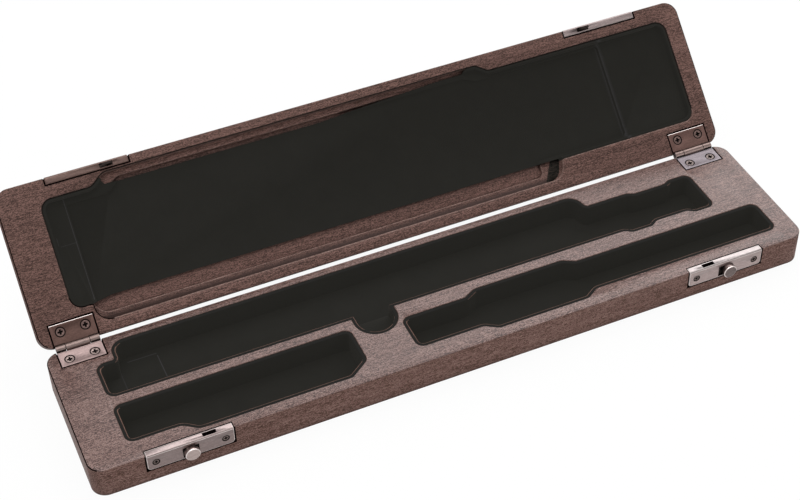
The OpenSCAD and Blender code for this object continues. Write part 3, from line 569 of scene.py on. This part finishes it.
# Near black and dull, painted as the shade in gaps, countersinks, screw crosses and plates' hidden faces.
grime = nickel("grime", (0.009, 0.007, 0.006), rough=0.9, stain=0.2, bare=0)


def fitting_place(point, side, on_lid, inset):
    """A point as measured on a fitting: outwards from its middle, its y when closed, down from the rim."""
    if on_lid:
        point = to_closed @ point
    down = point.z - lid_rim_z if on_lid else base_h - point.z
    return side * point.x - (case_l / 2 - inset), point.y, down


def stamped(node, place, arris, recess, ease, *parts):
    """A copy of a fitting with its arrises eased, its faces sorted into plain, recess, arris and parts."""

    def picked(edge):
        low, high = [v.co for v in edge.verts]
        return all(arris(*place(point)) for point in (low, high, (low + high) / 2))

    bm = workbench_copy(node)
    eased = set(rounded(bm, picked, ease, 2))
    for face in bm.faces:
        at = place(face.calc_center_median())
        if face in eased:
            face.material_index = arris_metal
        elif recess(*at):
            face.material_index = recess_metal
        else:
            in_part = [first_part_metal + rank for rank, part in enumerate(parts) if part(*at)]
            face.material_index = in_part[0] if in_part else plain_metal
    return bm


def end_arris(u, y, down):
    """The arrises at a leaf's two ends."""
    return abs(down) < hair and y < back_y - end_in and abs(abs(u) - hinge_l / 2) < hair


def leaf_arris(u, y, down):
    """The arrises at a leaf's ends and along its long side."""
    return end_arris(u, y, down) or (abs(down) < hair and abs(y - (back_y - leaf_w)) < hair)


def leaf_recess(u, y, down):
    """A leaf's sides, countersinks and the crease where it turns up into its knuckles, painted dark as shade.
    """
    sunk = down > near_arc and y < back_y - side_in
    in_crease = near_arc < -down < crease_h and y < back_y - crease_in
    return sunk or in_crease


def knuckle(u, y, down):
    """The knuckles that hold the pin."""
    return y > back_y - knuckle_in


def head_recess(u, y, down):
    """The cross in a screw's head, and all of the screw below its head, painted dark as shade."""
    return down > head_drop + hair


def head_arris(u, y, down):
    """The arrises of a head's rim and of its cross, painted dark as shade."""
    return abs(down - head_drop) < hair


for side, hand in ((-1, "left"), (1, "right")):
    for on_lid, board, square in ((False, "base", level.to_3x3()), (True, "lid", turn_closed)):
        place = partial(fitting_place, side=side, on_lid=on_lid, inset=hinge_inset)
        hinge = f"{hand}_hinge_{board}"
        leaf_bm = stamped(hinge + "_leaf", place, leaf_arris if on_lid else end_arris, leaf_recess, leaf_ease,
                          knuckle)
        finished(hinge + "_plate", leaf_bm, board,
                 (leaf_metals[hinge], grime, edge_highlight, barrel_nickel), hinge + "_leaf", smooth=35,
                 turn=square)
        heads_bm = stamped(hinge + "_screws", place, head_arris, head_recess, head_ease)
        finished(hinge + "_heads", heads_bm, board, (screw_metals[hinge], grime, grime),
                 hinge + "_screws", smooth=35, turn=square)


# Latch and strike plates: nickelled sheet folded over the boards' front edges, with
# a round knob that slides in a window and a hook that drops into a slot.
plate_proud, plate_ease, leg_h, leg_r, fold_r = 0.0003, 0.0004, 0.0105, 0.002, 0.001
knob_h, knob_ease, knob_face, knob_edge = 0.0029, 0.0009, 0.97, 1
plate_y = -case_w / 2 - plate_proud
# How far round the fold, flange to leg, its crease painted as shade and its part painted as highlight start.
crease_from, lit_from = 0.52, 0.7
# Each plate's metal on its leg and on its flange, each toned for the light on it: painted light.
plate_metals = {
    "left_latch": (nickel("left_latch_nickel", (0.24, 0.188, 0.18), rough=0.42, stain=0.35),
                   nickel("left_flange_nickel", (0.29, 0.235, 0.228), rough=0.42, stain=0.35)),
    "right_latch": (nickel("right_latch_nickel", (0.38, 0.304, 0.292), rough=0.42, stain=0.3),
                    nickel("right_flange_nickel", (0.31, 0.275, 0.27), rough=0.42, stain=0.3)),
    "left_strike": (nickel("left_strike_shaded_nickel", (0.12, 0.08, 0.07), rough=0.45, stain=0.35),) * 2,
    "right_strike": (nickel("right_strike_nickel", (0.22, 0.177, 0.173), rough=0.42, stain=0.3),) * 2}
# Painted highlight on the latch plates' arrises and folds.
rim_highlight = nickel("rim_highlight", (0.62, 0.55, 0.53), rough=0.4, stain=0.2, bare=0.3)
# Painted shade in the latch plates' creases.
crease_shade = nickel("crease_shade", (0.2, 0.145, 0.132), rough=0.6, stain=0.3, bare=0.5)
# The strikes' folds and arrises are dull, toned for the light on each side: painted light.
lacquers = {"left": nickel("left_strike_lacquer", (0.15, 0.092, 0.078), rough=0.7, stain=0.3, bare=0),
            "right": nickel("right_strike_lacquer", (0.36, 0.3, 0.29), rough=0.7, stain=0.3, bare=0)}
# Each knob's nickel is toned for the light on its side: painted light.
knob_metals = {"left": nickel("left_knob_nickel", (0.40, 0.32, 0.30), rough=0.3, stain=0.3),
               "right": nickel("right_knob_nickel", (0.15, 0.118, 0.112), rough=0.3, stain=0.3)}
plate_screw_bronze = nickel("plate_screw_bronze", (0.17, 0.13, 0.12), rough=0.4, stain=0.3)


def fold_turn(y, down):
    """How far round the outside of the fold a point is: 0 at the flange, 1 at the leg, -1 off the fold."""
    over, up = fold_r - (y - plate_y), fold_r - down
    on_fold = min(over, up) > hair and math.hypot(over, up) > fold_r - near_arc
    return math.atan2(over, up) * 2 / math.pi if on_fold else -1


def on_flange(u, y, down):
    """The flange's outer face, which is flush with the rim, and the first facets of the fold."""
    return abs(down) < 2 * hair


def plate_recess(u, y, down):
    """All of a plate that is neither its outer faces nor its fold, painted dark as shade."""
    return not (abs(y - plate_y) < hair or on_flange(u, y, down) or fold_turn(y, down) >= 0)


def plate_arris(u, y, down):
    """The arrises round a plate's outside, from the flange over the fold to the leg's rounded corners."""
    inward = y - plate_y
    on_fold = abs(math.hypot(fold_r - inward, fold_r - down) - fold_r) < near_arc
    at_end = abs(abs(u) - plate_l / 2) < hair or abs(down - leg_h) < hair or abs(inward - flange_w) < hair
    from_corner = math.hypot(abs(u) - plate_l / 2 + leg_r, down - leg_h + leg_r)
    at_corner = down > leg_h - leg_r - hair and abs(from_corner - leg_r) < near_arc
    return (abs(inward) < hair or abs(down) < hair or on_fold) and (at_end or at_corner)


def fold_crease(u, y, down):
    """The crease along the fold, painted dark as shade."""
    return crease_from < fold_turn(y, down) <= lit_from


def lit_fold(u, y, down):
    """The part of the fold next to the leg, painted light as a highlight."""
    return fold_turn(y, down) > lit_from


def fold_top(u, y, down):
    """The flange, and the part of the fold next to it."""
    return on_flange(u, y, down) or fold_turn(y, down) >= 0


def plate_head_recess(u, y, down):
    """The cross in a plate screw's head, and all of the screw behind its head, painted dark as shade."""
    return y > plate_y + head_drop + hair


def plate_head_arris(u, y, down):
    """The arrises of a plate screw's rim and of its cross, painted dark as shade."""
    return abs(y - plate_y - head_drop) < hair


for side, hand in ((-1, "left"), (1, "right")):
    for on_lid, board, square, kind, flange, fold_metals in (
            (False, "base", level.to_3x3(), "latch", fold_top, (rim_highlight, crease_shade, rim_highlight)),
            (True, "lid", turn_closed, "strike", on_flange, (lacquers[hand],) * 3)):
        place = partial(fitting_place, side=side, on_lid=on_lid, inset=plate_inset)
        plate, screws = f"{hand}_{kind}_plate", f"{hand}_{kind}_screws"
        leg_metal, flange_metal = plate_metals[f"{hand}_{kind}"]
        plate_bm = stamped(plate, place, plate_arris, plate_recess, plate_ease,
                           fold_crease, lit_fold, flange)
        finished(plate + "_steel", plate_bm, board, (leg_metal, grime, *fold_metals, flange_metal),
                 plate, smooth=35, turn=square)
        heads_bm = stamped(screws, place, plate_head_arris, plate_head_recess, head_ease)
        finished(screws + "_heads", heads_bm, board, (plate_screw_bronze, grime, grime),
                 screws, smooth=35, turn=square)
    knob = f"{hand}_latch_knob"
    knob_bm = workbench_copy(knob)
    for face in knob_bm.faces:
        if plate_y - face.calc_center_median().y > knob_h - knob_ease and face.normal.y > -knob_face:
            face.material_index = knob_edge
    finished(knob + "_turned", knob_bm, f"{hand}_slide", (knob_metals[hand], edge_highlight), knob,
             smooth=60)


# Inner steel: the latches' bolts and springs, the strikes' hooks and the hinges'
# pins, all painted near black as shade. They keep the solids' own shapes.
inner_shade = nickel("inner_shade", (0.03, 0.023, 0.021), rough=0.6, stain=0.2)
for name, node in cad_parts.items():
    if name.endswith(("_bolt", "_spring", "_pin", "_hook")):
        node.data.materials.clear()
        node.data.materials.append(inner_shade)
